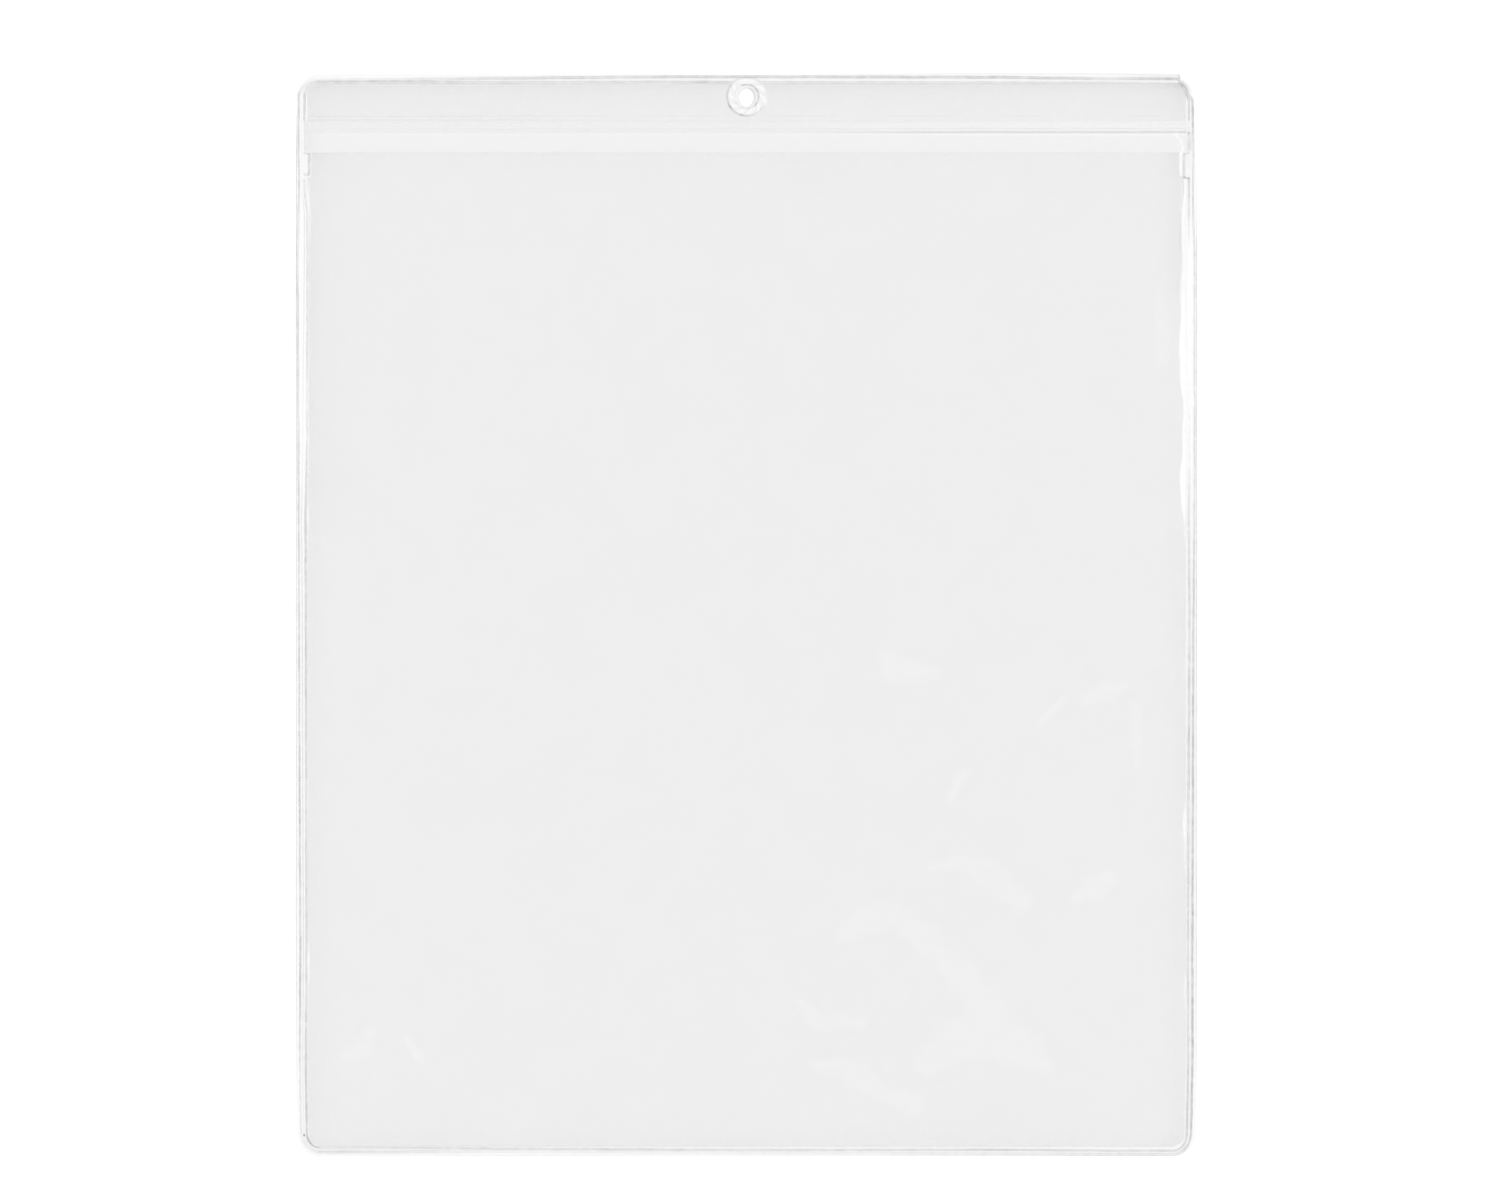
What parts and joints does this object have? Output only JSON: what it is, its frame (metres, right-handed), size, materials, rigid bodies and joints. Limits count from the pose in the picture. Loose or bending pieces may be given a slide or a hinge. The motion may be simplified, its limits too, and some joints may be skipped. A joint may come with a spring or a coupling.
{
  "type": "document sleeve",
  "caption": "Clear vinyl document sleeve with an open-topped pocket, welded edges, a welded header strip and a reinforced hang hole.",
  "frame": {"origin": "under the middle of the sleeve's footprint, on the back film's underside", "axes": "+X across the sleeve to the right, +Y along its height towards the header and the hang hole, +Z from the back film to the front film"},
  "size_m": [0.254, 0.3048, 0.0063],
  "materials": {
    "clear_film": "gloss, clear flexible vinyl film",
    "welded_vinyl": "gloss, clear vinyl fused by a die, with a rounded bead beside its face"
  },
  "bodies": {
    "root": {"back_film": "clear_film", "front_film": "clear_film", "header_film": "clear_film", "perimeter_weld": "welded_vinyl", "header_weld": "welded_vinyl", "hang_hole_ring": "welded_vinyl", "left_mouth_weld": "welded_vinyl", "right_mouth_weld": "welded_vinyl"}
  },
  "joints": []
}
